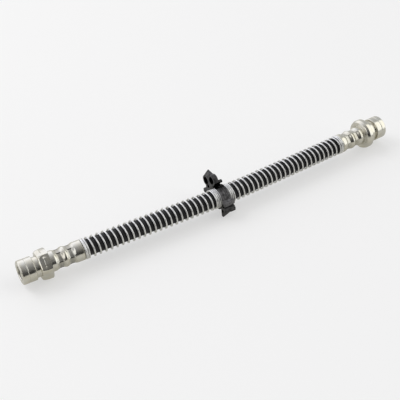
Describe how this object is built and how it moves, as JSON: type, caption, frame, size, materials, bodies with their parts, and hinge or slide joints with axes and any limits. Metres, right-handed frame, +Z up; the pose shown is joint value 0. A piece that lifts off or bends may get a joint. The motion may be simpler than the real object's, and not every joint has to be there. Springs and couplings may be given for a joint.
{
  "type": "brake hose",
  "caption": "Flexible hydraulic hose in a round-wire spring guard, with crimped plated-steel end fittings and a split plastic clip that holds cables beside it",
  "frame": {"origin": "On the floor the hose rests on, under the middle of the whole part", "axes": "X along the hose, from the fitting with the hexagon to the fitting with the round flange; Y to the back, away from the viewer; Z up"},
  "size_m": [0.2754, 0.0274, 0.0239],
  "materials": {
    "hose_rubber": "matt, faintly grained",
    "spring_steel": "bright drawn wire",
    "plated_steel": "turned and zinc plated, satin",
    "clip_plastic": "moulded, slightly glossy"
  },
  "bodies": {
    "root": {"rubber_hose": "hose_rubber", "spring_guard": "spring_steel", "left_fitting": "plated_steel", "right_fitting": "plated_steel", "clip": "clip_plastic"}
  },
  "joints": []
}
